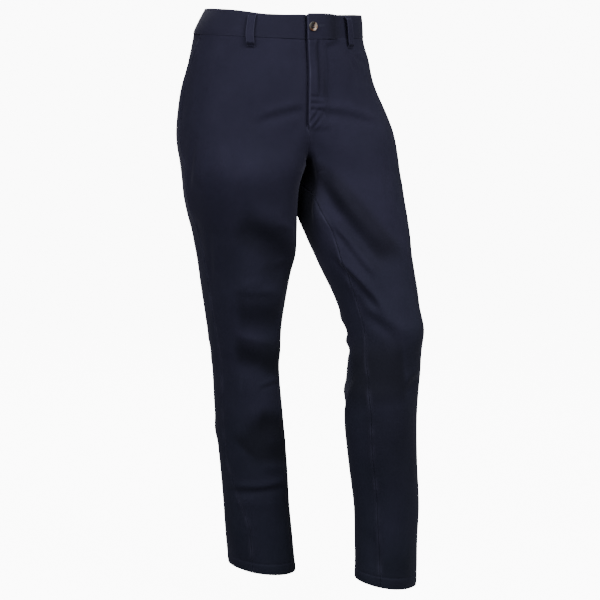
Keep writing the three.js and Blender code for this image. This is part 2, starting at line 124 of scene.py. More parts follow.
# The creases, each along a line from one place to another. depth is the height of a plain trough or
# ridge. step raises the cloth above the line, or to its right for a line that runs down the leg, and
# sinks it on the other side. bow bends the line sideways.
FOLD_COLUMNS = ("angle1", "drop1", "angle2", "drop2", "width", "depth", "step", "bow")
FOLDS = {
    RIGHT: (
        (86, 122, 114, 144, 12, -0.6, 1.9, 3),
        (60, 428, 108, 330, 34, -1, 6, 6),
        (60, 346, 84, 330, 8, 2, 0, 0),
        (68, 404, 88, 412, 8, 1.6, 0, 0),
        (104, 442, 134, 446, 9, 1.6, 0, 0),
        (78, 468, 140, 463, 11, 0, 0.6, 0),
        (72, 506, 142, 500, 40, 0, 4.6, 0),
        (84, 462, 142, 458, 9, 0.6, 0.3, 0),
        (60, 606, 150, 568, 34, 0, 4.2, -3),
        (88, 562, 150, 542, 6, 0.9, 0, 0),
        (66, 640, 114, 645, 6, 0, 1.4, 2),
        (64, 660, 84, 724, 9, 2, 0, 0),
        (64, 712, 150, 722, 26, 0, 2.2, 12),
        (60, 772, 118, 764, 26, 0, 1.6, 2),
        (84, 806, 132, 800, 10, 2.2, 0, 0),
        (86, 840, 190, 846, 10, -0.4, 2.4, 0),
        (98, 872, 180, 872, 14, 1.4, 0, 0),
        (163, 182, 179, 268, 8, -1.2, -1.2, 0),
        (163, 350, 177, 436, 8, -1.2, -1, 0),
        (246, 190, 322, 226, 17, -1.5, 4, 8),
        (236, 232, 300, 262, 14, -1, 3.4, 5),
        (238, 520, 300, 552, 14, -2, 4.5, 6),
        (236, 570, 312, 580, 12, -2, 4, -5),
        (240, 610, 300, 596, 10, -1, 3, 4),
        (238, 760, 292, 704, 16, -1, 3.5, 6),
        (238, 884, 288, 902, 12, -1, 3, 4),
        (318, 366, 372, 300, 14, -1, 2, 4),
    ),
    LEFT: (
        (84, 128, 124, 154, 13, -0.6, 2.5, 5),
        (50, 204, 4, 330, 12, 0, 5.5, 0),
        (42, 262, 82, 392, 26, 0, 9, -12),
        (28, 340, 54, 426, 13, 0, 3.4, 0),
        (14, 398, 44, 486, 11, 0, 4, 2),
        (20, 488, 66, 536, 18, 0, 3.6, 4),
        (48, 552, 140, 548, 38, 0, 3.6, 0),
        (-1, 594, -36, 680, 9, 2.4, -0.8, 0),
        (10, 905, 14, 965, 12, -2, 1, 0),
        (125, 180, 98, 306, 3, -0.8, 0.5, 4),
        (127, 28, 141, 50, 7, -0.6, 0.8, 2),
        (117, 20, 126, 60, 6, -0.6, 0.8, 2),
        (68, 626, 120, 604, 14, -0.5, 2, 5),
        (238, 498, 305, 528, 14, -2, 5, 6),
        (236, 546, 312, 560, 13, -2, 4.5, -5),
        (240, 592, 300, 580, 10, -1, 3, 4),
        (240, 622, 312, 655, 12, -1, 3, 4),
        (240, 225, 326, 258, 17, -1.5, 4, 8),
        (196, 226, 232, 252, 16, -1, 2.5, 6),
        (214, 790, 262, 822, 14, -1, 3, 4),
    ),
}
# Patches of painted shade: the cloth's colour is darkened where shadow falls between the legs, in the crotch and
# along creases, each along a line with a half width.
PAINTED_SHADE_COLUMNS = ("angle1", "drop1", "angle2", "drop2", "width", "dark")
PAINTED_SHADE_PATCHES = {
    RIGHT: (
        (122, 336, 64, 398, 36, 0.42), (92, 396, 58, 440, 36, 0.36), (138, 498, 76, 500, 36, 0.34),
        (150, 574, 60, 586, 26, 0.54), (104, 590, 58, 612, 22, 0.56), (158, 766, 108, 722, 30, 0.62),
        (128, 714, 62, 744, 30, 0.7), (144, 762, 58, 778, 28, 0.6), (150, 856, 60, 856, 12, 0.16),
    ),
    LEFT: (
        (33, 204, -29, 364, 35, 1), (94.5, 10, 94, 98, 5.5, 0.24), (38, 230, 82, 388, 27, 0.5),
        (40, 330, 66, 410, 14, 0.2), (64, 592, -24, 602, 58, 0.66), (136, 588, 70, 592, 50, 0.34),
        (130, 728, 6, 730, 92, 0.26), (84, 975, 10, 975, 34, 0.22),
    ),
}
# How much fuller than its sections the cloth hangs on the inner and outer side of each leg.
FULLNESS = {
    RIGHT: (
        (0, 0, 2), (40, 0, 2.2), (80, 0, 0.2), (120, 0, 1), (190, 0, 4), (235, 0.5, 5.4), (270, 1.2, 2.4),
        (320, 1.5, -1.2), (344, 2.4, -1.4), (385, 2, 1.4), (450, 1, 0), (560, 2, -0.6), (640, 2.6, 0),
        (700, 2.6, 1), (755, 4, 3.4), (830, 3.4, 5), (905, 5.8, 6.6), (945, 7.6, 6.8), (1014, 8, 8.2),
    ),
    LEFT: (
        (0, 0, 1.6), (40, 0, 3), (80, 0, 1), (120, 0, 1.8), (160, 0, 0.4), (232, 0, 2.8), (300, 8, 2.2),
        (330, 10, 2), (364, 8, 2.6), (400, 3, 2), (440, 1, 2.6), (500, -3.6, 2.6), (540, -6.4, 5.6), (576, 0, 8),
        (610, 4, 8), (640, 9.4, 6.4), (690, 7.4, 5), (750, 4.6, 4.4), (850, 4, 2.6), (930, 5, 2), (1004, 5.4, 4),
    ),
}
# Distances from a panel's edge at which its columns lie, close enough for the seam's own form.
EDGE_STEPS = (0, 0.4, 1, 1.8, 3, 4.4, 5.6, 7, 8.6, 10.2, 11.4, 12.4, 13.4, 14.6, 16.2, 18.5, 21.5, 25, 29, 34, 39)


def smooth_table(rows, at):
    """Each column as a smooth curve over the first one. The slope at a row is the harmonic mean of the
    climbs before and after it, or 0 where these differ in sign, and a cubic joins row to row."""
    rows = np.array(rows, float)
    place = rows[:, 0]
    climb = np.diff(rows, axis=0) / np.diff(place)[:, None]
    before, after = np.vstack([climb[:1], climb]), np.vstack([climb, climb[-1:]])
    agree = before * after > 0
    slope = np.where(agree, 2 * before * after / np.where(agree, before + after, 1), 0)
    at = np.clip(np.asarray(at, float), place[0], place[-1])
    i = np.clip(np.searchsorted(place, at, side="right") - 1, 0, len(place) - 2)
    step = (place[i + 1] - place[i])[..., None]
    s = (at - place[i])[..., None] / step
    return (
        rows[i] * (2 * s**3 - 3 * s**2 + 1)
        + rows[i + 1] * (3 * s**2 - 2 * s**3)
        + step * slope[i] * (s**3 - 2 * s**2 + s)
        + step * slope[i + 1] * (s**3 - s**2)
    )


def leg_section(side, drop):
    """The section's values at each drop, by column name."""
    values = smooth_table(LEG_SECTIONS[side], drop)
    return {name: values[..., k] for k, name in enumerate(SECTION_COLUMNS)}


def leg_length(side):
    return LEG_SECTIONS[side][-1][0]


def middle_x(drop):
    return smooth_table(MIDDLE_SEAM, drop)[..., 1]


def fade(start, end, value):
    """0 before start, 1 after end, and smooth between."""
    t = np.clip((np.asarray(value, float) - start) / (end - start), 0, 1)
    return t * t * (3 - 2 * t)


def bell(value, width):
    """A bump of height 1 at 0, down to about a third of that at width."""
    return np.exp(-((value / width) ** 2))


def squared(value):
    return np.sign(value) * np.abs(value) ** (2 / SQUARENESS)


def split_angle(section, short):
    """The angle at which a section comes within short of the middle seam, or past it where below 0."""
    share = np.clip((section["out"] - short) / section["inner"], -1, 1)
    return np.degrees(np.arccos(np.sign(share) * np.abs(share) ** (SQUARENESS / 2)))


def seam_depth(side, drop, behind):
    """How far back a leg's section meets the middle seam, in front or behind."""
    section = leg_section(side, np.minimum(drop, CROTCH_DROP))
    across = squared(np.sin(np.radians(split_angle(section, SEAM_GAP))))
    return section["back"] + np.where(behind, section["rear"], -section["front"]) * across


def seam_pull(side, drop, angle):
    """Both legs meet on one line, so each is drawn to the mean of the two. The part of this that holds
    higher up reaches far round the leg, and the rest, which grows fast towards the crotch, less far."""
    behind = angle > 180
    pulls = []
    for at in (np.minimum(drop, PULL["drop"]), drop):
        pulls.append(0.5 * (seam_depth(-side, at, behind) - seam_depth(side, at, behind)))
    split = np.where(drop < CROTCH_DROP, split_angle(leg_section(side, drop), SEAM_GAP), 0)
    away = np.abs(np.where(behind, 360 - angle, angle))
    broad = np.maximum(split, 50 * (1 - fade(PULL["drop"], 310, drop)) * (drop > PULL["drop"]))
    pull = pulls[0] * (1 - fade(0, PULL["above"], away - broad))
    pull = pull + (pulls[1] - pulls[0]) * (1 - fade(0, PULL["below"], away - split))
    return pull * (1 - fade(CROTCH_DROP, CROTCH_DROP + 60, drop))


def bare_surface(side, drop, angle):
    """The leg with no creases: four quarters of a squared ellipse at each drop, twisted and tilted."""
    drop, angle = np.broadcast_arrays(np.asarray(drop, float), np.asarray(angle, float))
    section = leg_section(side, drop)
    across, deep = squared(np.cos(np.radians(angle))), squared(np.sin(np.radians(angle)))
    x = -side * across * np.where(across > 0, section["inner"], section["outer"])
    y = -deep * np.where(deep > 0, section["front"], section["rear"]) + seam_pull(side, drop, angle)
    turn = np.radians(section["turn"])
    turned_x = x * np.cos(turn) - y * np.sin(turn)
    turned_y = x * np.sin(turn) + y * np.cos(turn)
    height = -BAND_HEIGHT / 2 - drop + section["pitch"] * np.minimum(turned_y, 0) + section["roll"] * turned_x
    return np.stack([middle_x(drop) + side * section["out"] + turned_x, section["back"] + turned_y, height], -1)


def outwards(side, drop, angle):
    around = bare_surface(side, drop, angle + 1) - bare_surface(side, drop, angle - 1)
    down = bare_surface(side, drop + 1, angle) - bare_surface(side, drop - 1, angle)
    normal = np.cross(down, around) * side
    return normal / np.linalg.norm(normal, axis=-1, keepdims=True)


def line_shares(side, drop, angle, row):
    """For a line from one place to another: how far along it each point lies, 0 to 1, and how far to
    the side in millimetres. The angle is taken on the turn nearest to the line."""
    section = leg_section(side, drop)
    around = np.radians(section["inner"] + section["outer"] + section["front"] + section["rear"]) / 4
    angle1, drop1, angle2, drop2 = row[:4]
    middle = (angle1 + angle2) / 2
    near = (angle - middle + 180) % 360 - 180 + middle
    along_a, along_d = (angle2 - angle1) * around, drop2 - drop1
    length = np.hypot(along_a, along_d)
    here_a, here_d = (near - angle1) * around, drop - drop1
    return (here_a * along_a + here_d * along_d) / length**2, (here_a * along_d - here_d * along_a) / length


def fold_height(side, drop, angle):
    """All creases together. Across its line each is a bell curve times its depth, plus the slope of a
    bell curve times its step, and along its line it fades out at both ends."""
    total = np.zeros(np.broadcast_shapes(np.shape(drop), np.shape(angle)))
    for row in FOLDS[side]:
        fold = dict(zip(FOLD_COLUMNS, row))
        t, sideways = line_shares(side, drop, angle, row)
        inside = np.clip(t, 0, 1)
        u = (sideways - fold["bow"] * 4 * inside * (1 - inside)) / fold["width"]
        shape = (fold["depth"] + 2.33 * fold["step"] * u) * bell(u, 1)
        total = total + shape * fade(-0.2, 0.25, t) * (1 - fade(0.75, 1.2, t))
    return total


def painted_shade_share(side, drop, angle):
    """How dark the painted shade makes the cloth: in each patch the full value near its line, with soft edges."""
    total = np.zeros(np.broadcast_shapes(np.shape(drop), np.shape(angle)))
    for row in PAINTED_SHADE_PATCHES[side]:
        patch = dict(zip(PAINTED_SHADE_COLUMNS, row))
        t, sideways = line_shares(side, drop, angle, row)
        share = np.exp(-((sideways / patch["width"]) ** 4)) * fade(-0.14, 0.06, t) * (1 - fade(0.94, 1.14, t))
        total = np.maximum(total, patch["dark"] * share)
    return total


def fullness(side, drop, angle):
    """The inner value where the surface faces inwards and the outer one where it faces outwards, in
    proportion to the square of the cosine of the angle."""
    values = smooth_table(FULLNESS[side], drop)
    towards = np.cos(np.radians(angle))
    return towards**2 * np.where(towards > 0, values[..., 1], values[..., 2]) * fade(-3, 20, drop)


def unevenness(points):
    """The cloth's slight waves: sines of many lengths and directions, longer ones higher."""
    chance = np.random.default_rng(11)
    total = np.zeros(points.shape[:-1])
    for _ in range(18):
        heading = chance.normal(size=3) * (1, 1, 0.5)
        length = chance.uniform(34, 150)
        wave = points @ (heading / np.linalg.norm(heading)) * (2 * np.pi / length)
        total += 0.0026 * length * np.sin(wave + chance.uniform(0, 2 * np.pi))
    return total


def free_share(bare, drop):
    """How freely the cloth creases: not at all at the waist and middle seams, fully 26 mm from the
    middle seam, or 10 mm from it near the crotch."""
    reach = 26 - 16 * fade(160, 205, drop)
    from_seam = fade(0, 1, (np.abs(bare[..., 0] - middle_x(drop)) - 1) / reach)
    return fade(0, 45, drop) * np.maximum(from_seam, fade(CROTCH_DROP, CROTCH_DROP + 25, drop))


def cloth_height(side, drop, angle, bare, base):
    """How far the creased cloth stands off its smooth base. bare is the leg's own surface there."""
    creased = free_share(bare, drop) * (fold_height(side, drop, angle) + fullness(side, drop, angle))
    return creased + fade(-6, 40, drop) * unevenness(base)


def cloth_surface(side, drop, angle, above=0):
    """The creased cloth's outer face, or above it."""
    drop, angle = np.broadcast_arrays(np.asarray(drop, float), np.asarray(angle, float))
    bare = bare_surface(side, drop, angle)
    height = cloth_height(side, drop, angle, bare, bare) + above
    return bare + outwards(side, drop, angle) * height[..., None]


def from_middle(side, drop, angle):
    """How far the leg's surface lies from the middle seam, towards the leg's own side."""
    return (bare_surface(side, drop, angle)[..., 0] - middle_x(drop)) * side


def pucker(along):
    """Uneven small waves along a seam, between -1 and 1."""
    return 0.5 * np.sin(along * 0.62) + 0.3 * np.sin(along * 0.41 + 1) + 0.2 * np.sin(along * 0.97 + 2)


def seam_form(distance, along):
    """A sewn seam: a narrow ditch where both edges turn in, the seam allowance's low ridge beside it,
    and puckers that fade out."""
    ditch = -0.8 * bell(distance, 1) - 2 * fade(0.4, 0, distance) + 0.35 * bell(distance - 3.6, 2)
    return ditch * (1 - 0.7 * fade(420, 600, along)) + 0.28 * pucker(along) * np.exp(-distance / 8)


def folded_form(distance, along, round_off=1.3):
    """A folded edge: its face rounds down over the last bit."""
    inside = np.clip(1 - distance / round_off, 0, 1)
    return -round_off * (1 - np.sqrt(1 - inside**2)) + 0.2 * pucker(along * 0.7) * np.exp(-distance / 7)


def run_along(points):
    """The distance from a line's first point to each of its points, along the line."""
    steps = np.linalg.norm(np.diff(points, axis=-2), axis=-1)
    return np.concatenate([np.zeros((*steps.shape[:-1], 1)), np.cumsum(steps, axis=-1)], axis=-1)


def angles_across(side, drops, first, last):
    """On each row, the angles at EDGE_STEPS from both edges and at 40 even steps between, and each
    one's distance from the first edge, both measured along the bare surface."""
    fine = first[:, None] + (last - first)[:, None] * np.linspace(0, 1, 181)
    run = run_along(bare_surface(side, drops[:, None], fine))
    wide, edge = run[:, -1:], np.array(EDGE_STEPS)
    near = edge * np.minimum(1, 0.3 * wide / edge[-1])
    between = near[:, -1:] + (wide - 2 * near[:, -1:]) * np.linspace(0, 1, 42)[1:-1]
    distances = np.concatenate([near, between, wide - near[:, ::-1]], axis=1)
    return np.array([np.interp(*row) for row in zip(distances, run, fine)]), distances


def set_inputs(node, inputs):
    """Gives a node's inputs, by name or number, a value or a link from another node's output."""
    for key, value in inputs.items():
        if isinstance(value, bpy.types.NodeSocket):
            node.id_data.links.new(value, node.inputs[key])
        else:
            node.inputs[key].default_value = value


def shaded_material(name, inputs):
    """A material and its shader, with these inputs set."""
    material = bpy.data.materials.new(name)
    material.use_nodes = True
    shader = material.node_tree.nodes["Principled BSDF"]
    set_inputs(shader, inputs)
    return material, shader


def add_node(material, kind, output, inputs, **settings):
    """Adds a node with its settings and inputs to a material, and gives one of its outputs."""
    node = material.node_tree.nodes.new("ShaderNode" + kind)
    for key, value in settings.items():
        setattr(node, key, value)
    set_inputs(node, inputs)
    return node.outputs[output]


def colour_ramp(material, factor, stops):
    """The colour that a ramp through the stops has at factor. Each stop is a place and a colour."""
    colour = add_node(material, "ValToRGB", "Color", {"Fac": factor})
    elements = colour.node.color_ramp.elements
    while len(elements) < len(stops):
        elements.new(0.5)
    for element, (at, stop) in zip(elements, stops):
        element.position, element.color = at, (*stop, 1)
    return colour


def cloth_material(name):
    """Cotton twill: fine slanted ribs over a dark navy that is mottled by wash and greener and a little darker
    further down, darker under painted shade, and paler where the dye has rubbed off and under painted highlights on
    folded edges."""
    cover = {"Roughness": 0.88, "Specular IOR Level": 0.22}
    sheen = {"Sheen Weight": 0.1, "Sheen Roughness": 0.4, "Sheen Tint": (0.62, 0.62, 0.86, 1)}
    material, shader = shaded_material(name, {**cover, **sheen})

    def add(kind, output, inputs, **settings):
        return add_node(material, kind, output, inputs, **settings)

    def noise(scale, detail, roughness):
        return add("TexNoise", "Fac", {"Vector": place, "Scale": scale, "Detail": detail, "Roughness": roughness})

    def blend(share, under, over, way):
        inputs = {"Factor": share, "A": under, "B": (*over, 1)}
        return add("Mix", "Result", inputs, data_type="RGBA", blend_type=way)

    place = add("TexCoord", "Object", {})
    slanted = add("Mapping", "Vector", {"Vector": add("UVMap", "UV", {}, uv_map="cut"), "Scale": (-1, 0.6, 1)})
    weave = {"Vector": slanted, "Scale": 980, "Distortion": 0.6, "Detail Scale": 3}
    ribs = add("TexWave", "Fac", weave, wave_type="BANDS", bands_direction="DIAGONAL")
    rib_share = add("Math", 0, {0: ribs, 1: 0.3}, operation="MULTIPLY")
    upward = add("SeparateXYZ", "Z", {"Vector": place})
    lower = add("MapRange", "Result", {"Value": upward, "From Min": -0.15, "From Max": -1})
    sunk = add("Math", 0, {0: lower, 1: 0.9}, operation="SUBTRACT")
    drift = add("Math", 0, {0: noise(7, 3, 0.5), 1: 1.6, 2: sunk}, operation="MULTIPLY_ADD", use_clamp=True)
    painted_shade, wear_and_highlight = (add("Attribute", "Fac", {}, attribute_name=key) for key in ("painted_shade", "wear_and_highlight"))
    stops = (0.3, (0.0108, 0.0102, 0.0262)), (0.72, (0.0148, 0.014, 0.033))
    colour = colour_ramp(material, noise(26, 5, 0.6), stops)
    colour = blend(rib_share, colour, (0.026, 0.0255, 0.05), "MIX")
    colour = blend(drift, colour, (0.78, 0.98, 0.82), "MULTIPLY")
    # Painted shade: the colour is multiplied towards (0.1, 0.13, 0.16) where the patches stand in for shadow.
    colour = blend(painted_shade, colour, (0.1, 0.13, 0.16), "MULTIPLY")
    # Paler where dye has rubbed off, and a painted highlight where folded edges catch the light.
    colour = blend(wear_and_highlight, colour, (0.042, 0.041, 0.075), "MIX")
    bump = add("Bump", "Normal", {"Height": ribs, "Strength": 0.35, "Distance": 0.00015})
    lint = {"Height": noise(900, 2, 0.5), "Strength": 0.25, "Distance": 0.0003, "Normal": bump}
    set_inputs(shader, {"Base Color": colour, "Normal": add("Bump", "Normal", lint)})
    return material


TWILL = cloth_material("navy twill")


def mesh_object(name, points, faces, material, uv=None):
    """A smooth mesh object from points in millimetres, with an optional uv in metres for each point."""
    mesh = bpy.data.meshes.new(name)
    mesh.from_pydata((np.asarray(points) * 0.001).tolist(), [], np.asarray(faces).tolist())
    mesh.materials.append(material)
    mesh.polygons.foreach_set("use_smooth", np.ones(len(mesh.polygons), bool))
    if uv is not None:
        corner = np.empty(len(mesh.loops), np.int32)
        mesh.loops.foreach_get("vertex_index", corner)
        layer = mesh.uv_layers.new(name="cut")
        layer.data.foreach_set("uv", (np.asarray(uv) * 0.001)[corner].astype(np.float32).ravel())
    mesh.update()
    thing = bpy.data.objects.new(name, mesh)
    bpy.context.scene.collection.objects.link(thing)
    return thing


def grid_faces(rows, columns, start=0):
    """The quads of a grid of points, numbered row by row."""
    at = start + np.arange(rows * columns).reshape(rows, columns)
    return np.stack([at[:-1, :-1], at[1:, :-1], at[1:, 1:], at[:-1, 1:]], -1).reshape(-1, 4)


def wall_mesh(name, outer, inner, uv, material):
    """A closed cloth wall: the outer grid, the inner one, and four rims between their edges, which
    have points of their own so that they meet the faces at a clean corner."""
    rows, columns = outer.shape[:2]
    start = rows * columns
    points, uvs = [outer.reshape(-1, 3), inner.reshape(-1, 3)], [uv.reshape(-1, 2)] * 2
    faces = [grid_faces(rows, columns), grid_faces(rows, columns, start)[:, ::-1]]
    start *= 2
    for edge, turned in ((np.s_[0, :], True), (np.s_[-1, :], False), (np.s_[:, 0], False), (np.s_[:, -1], True)):
        rim = np.stack([outer[edge], inner[edge]])
        quads = grid_faces(2, rim.shape[1], start)
        faces.append(quads[:, ::-1] if turned else quads)
        points.append(rim.reshape(-1, 3))
        uvs.append(np.concatenate([uv[edge], uv[edge]]))
        start += 2 * rim.shape[1]
    faces = np.concatenate(faces)
    first = outer[1, 0] - outer[0, 0], outer[0, 1] - outer[0, 0]
    if np.dot(np.cross(*first), outer[0, 0] - inner[0, 0]) < 0:
        faces = faces[:, ::-1]
    return mesh_object(name, np.concatenate(points), faces, material, np.concatenate(uvs))


def finish_cloth(piece, node, stitches=()):
    """Puts a cloth piece and its stitching on the root body, and hides the part's solid."""
    for thing in (piece, *stitches):
        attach(thing, "root")
    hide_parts(node)


def panel_drops(side):
    """Drops of a panel's rows: closer in the seat and at the hem's stitching and edge."""
    length = leg_length(side)
    top = [-3, -1.5, -0.4, 0.3, 1.2, 2.2, 3.6, *np.arange(6, 80, 3.4)]
    seat = np.arange(80, 262, 2.2)
    leg = np.arange(263, length - HEM["depth"] - 2, 3.4)
    hem = length - np.array([24.5, 23.5, 22.5, 21.5, 20.5, 19.5, 17, 14, 11, 8, 5.5, 3.6, 2.2, 1.2, 0.5, 0])
    return np.concatenate([top, seat, leg, hem])


def hem_form(side, drop, angle):
    """The hem: a groove where it is stitched, a slight roll below, and a rounded lower edge."""
    up = leg_length(side) - drop
    groove = -0.45 * bell(up - HEM["stitch"], 1.4) + 0.45 * bell(up - 11, 7)
    waves = 0.22 * pucker(angle * 1.1) * np.exp(-np.abs(up - HEM["stitch"]) / 6)
    return groove + waves + folded_form(up, angle)


def settled(side, drop, angle, bare, from_edge, reach=20):
    """The bare surface drawn smooth up and down: each point becomes the mean of those at its angle above
    and below it, weighed by a bell curve, but less near the waist, the hem and the panel's side edges."""
    spread = 1.41 * reach * fade(0, 70, drop) * fade(0, 70, leg_length(side) - drop)
    steps = np.linspace(-1.6, 1.6, 9)
    total = sum(bell(step, 1) * bare_surface(side, drop + step * spread, angle) for step in steps)
    share = fade(0, 30, from_edge)[..., None]
    return bare * (1 - share) + total / bell(steps, 1).sum() * share


def grid_normals(grid, side):
    """Unit normals of a grid of points, pointing out of the leg."""
    normal = np.cross(np.gradient(grid, axis=0), np.gradient(grid, axis=1)) * side
    return normal / np.linalg.norm(normal, axis=-1, keepdims=True)


def close_middle(outer, kind, side, drops, distance):
    """Draws a panel's edge at the middle seam a hair past that seam, so that no light shows through it,
    and the cloth beside it with it."""
    share = fade(250, CROTCH_DROP, drops)
    edge, away = (0, distance) if kind == "front" else (-1, distance[:, -1:] - distance)
    if kind == "front":
        share = share * fade(FLY["length"] - 16, FLY["length"] - 6, drops)
    gap = (middle_x(drops) - side * MIDDLE_LAP - outer[:, edge, 0]) * share
    outer[..., 0] += gap[:, None] * bell(away, 5)


def make_panel(kind, side, first, last, form):
    """A panel between the angles that first and last give for each row, its edges and layers raised or
    sunk as form says. Its top goes 3 mm up into the waistband."""
    drops = panel_drops(side)
    angles, distance = angles_across(side, drops, first(side, drops), last(side, drops))
    down = np.broadcast_to(drops[:, None], angles.shape)
    wide = distance[:, -1:]
    bare = bare_surface(side, down, angles)
    base = settled(side, down, angles, bare, np.minimum(distance, wide - distance))
    normal = grid_normals(base, side)
    height = cloth_height(side, down, angles, bare, base) + form(side, down, angles, distance, wide)
    height += hem_form(side, down, angles) - 0.5 * bell(np.maximum(down, 0), 2) - 0.8 * fade(0, -2.5, down)
    outer = base + normal * height[..., None]
    close_middle(outer, kind, side, drops, distance)
    hem_share = fade(HEM["depth"] + 0.6, HEM["depth"] - 0.6, leg_length(side) - down)
    thick = CLOTH_THICK + (HEM["thick"] - CLOTH_THICK) * hem_share
    inner = outer - normal * thick[..., None]
    uv = np.stack([distance - wide / 2, -down], -1)
    piece = wall_mesh(f"{kind}_{SIDE_NAMES[side]}_cloth", outer, inner, uv, TWILL)
    # The first attribute is rubbed dye plus a painted highlight on folded edges; the second is painted shade.
    paint(piece, "wear_and_highlight", edge_wear_and_highlight(distance, wide, down, side))
    paint(piece, "painted_shade", painted_shade_share(side, down, angles))
    flat = float(distance.max()) / 1000, float(drops[-1] - drops[0]) / 1000
    return {"piece": piece, "drops": drops, "angles": angles, "outer": outer, "flat": flat}


def edge_wear_and_highlight(distance, wide, down, side):
    """How much paler the cloth is: dye rubbed off where the cloth stands proud, along folded edges, on the low
    ridge beside each seam and at the hem, and along the pocket mouth and the left fly's edge a painted highlight as
    well, where the folded edge catches the light."""
    edge = np.minimum(distance, wide - distance)
    hem = leg_length(side) - down
    ridge = 0.5 * bell(edge - 1.4, 0.8) + 0.16 * bell(edge - 3.8, 2)
    # Pocket mouth: rubbed dye and a painted highlight of the folded edge catching the light.
    mouth = 0.9 * bell(wide - distance - 1, 1.1) * (1 - fade(POCKET["length"] - 12, POCKET["length"], down))
    patchy = np.clip(0.42 + 0.7 * pucker(down * 0.19 + 2), 0.05, 1)
    # The left fly's folded edge: rubbed dye and a painted highlight where it catches the light.
    mouth = mouth + 0.4 * bell(distance - 1.4, 1.3) * (1 - fade(150, 158, down)) * (side == LEFT)
    return np.clip(ridge * patchy + mouth + 0.35 * bell(hem - 0.5, 1.2) + 0.15 * bell(hem - 19.5, 1.4), 0, 1)


def paint(piece, name, outer_values):
    """Writes values to the points of the outer face, which come first in the mesh."""
    values = np.zeros(len(piece.data.vertices), np.float32)
    values[: outer_values.size] = outer_values.ravel()
    layer = piece.data.attributes.new(name, "FLOAT", "POINT")
    layer.data.foreach_set("value", values)


def half_gap(section):
    """The angle that keeps a panel's edge just short of its seam."""
    return EDGE_SHORT / np.radians(section["inner"])


def front_first(side, drops):
    """The fly's edge goes past the middle seam: the left over, the right under, none below the fly."""
    section = leg_section(side, drops)
    reach = FLY["over"] if side == LEFT else FLY["under"]
    reach = reach * (1 - fade(FLY["length"] - 17, FLY["length"] - 6, drops))
    above_crotch = split_angle(section, SEAM_GAP - reach)
    return np.where(drops < CROTCH_DROP, above_crotch, section["inseam"] + half_gap(section))


def pocket_angle(drops, section):
    slant = np.clip(drops / POCKET["length"], 0, 1)
    return POCKET["top"] + (section["outseam"] - POCKET["top"]) * slant


def front_last(side, drops):
    section = leg_section(side, drops)
    return pocket_angle(drops, section) - half_gap(section)


def fly_or_seam(side, distance, along):
    """The front's first edge: the fly's fold on the left, plain cloth under it on the right, and below
    the fly the middle seam and inseam on both."""
    fly = 1 - fade(FLY["length"] - 14, FLY["length"] - 4, along)
    upper = folded_form(distance, along) if side == LEFT else 0
    return fly * upper + (1 - fly) * seam_form(distance, along)


def pocket_or_seam(distance, along):
    """The front's last edge: the pocket mouth's fold, which gapes a little, then the outseam."""
    mouth = 1 - fade(POCKET["length"] - 6, POCKET["length"] + 2, along)
    gape = POCKET["gape"] * np.sin(np.pi * np.clip(along / POCKET["length"], 0, 1)) * np.exp(-distance / 15)
    stitched = -0.3 * bell(distance - 6.2, 1.1)
    return mouth * (folded_form(distance, along) + gape + stitched) + (1 - mouth) * seam_form(distance, along)


def fly_crumple(across, drop):
    """Small puckers between the foot of the fly's stitching and its folded edge: three short creases
    across the fly, and a few that run slantwise into the crotch."""
    creases = sum(-deep * bell(drop - at - 0.1 * across, 2.8) for at, deep in ((103, 1.6), (115, 2), (127, 1.9)))
    creases = creases * fade(0, 3, across) * (1 - fade(20, 30, across))
    slant = np.sin((drop * 0.72 + across) * 0.5) * bell(drop - 147, 17) * bell(across - 12, 13)
    return creases + 2.1 * slant


# The fullness beside the crotch: its height, its drop and spread, its angle and spread, and the
# distance from the seam at which it is whole.
CROTCH_FULL_COLUMNS = ("height", "drop", "tall", "angle", "broad", "whole")
CROTCH_FULL = {RIGHT: (3.5, 238, 27, 38, 27, 18), LEFT: (4, 232, 24, 50, 22, 12)}


def front_form(side, drop, angle, distance, wide):
    """Both edges, and the fly: the left one's lap stands on the right front, with a crease where the
    layers beneath it end, and the right front sinks a little where the fly's edge lies on it. Both
    fronts are full beside the crotch."""
    bulge = dict(zip(CROTCH_FULL_COLUMNS, CROTCH_FULL[side]))
    full = bulge["height"] * bell(drop - bulge["drop"], bulge["tall"]) * bell(angle - bulge["angle"], bulge["broad"])
    form = full * fade(0, bulge["whole"], distance)
    form = form + fly_or_seam(side, distance, drop) + pocket_or_seam(wide - distance, drop)
    across = from_middle(side, drop, angle)
    along = 1 - fade(FLY["length"] - 12, FLY["length"] + 2, drop)
    if side == RIGHT:
        return form - 4.4 * along * bell(across - 2.9, 2.8)
    near_waist = 1 - fade(0, 16, drop)
    step_at = FLY["wide"] + 16 * near_waist
    lap = (FLY["raise"] + near_waist) * (1 - fade(0, 1, (across - step_at) / (FLY["fade"] + 20 * near_waist)))
    from_crease = across - FLY["crease"]
    ridge = 1.1 * bell(from_crease, 4) - 4.6 * bell(from_crease - 6, 2.5) + 0.8 * bell(from_crease - 11, 3)
    crease = ridge * fade(0, 8, drop) * (1 - fade(92, 112, drop)) + fly_crumple(across, drop)
    return form + along * np.where(angle < 180, lap + crease, 0)


fronts = {side: make_panel("front", side, front_first, front_last, front_form) for side in SIDE_NAMES}


# The backs: one piece each, from the side seam round to the middle seam and inseam. They are plain,
# because no back pocket shows in the photo.
def back_first(side, drops):
    section = leg_section(side, drops)
    return section["outseam"] + half_gap(section)


def back_last(side, drops):
    section = leg_section(side, drops)
    above_crotch = -split_angle(section, SEAM_GAP)
    return 360 + np.where(drops < CROTCH_DROP, above_crotch, section["inseam"] - half_gap(section))


def back_form(side, drop, angle, distance, wide):
    return seam_form(distance, drop) + seam_form(wide - distance, drop)


backs = {side: make_panel("back", side, back_first, back_last, back_form) for side in SIDE_NAMES}


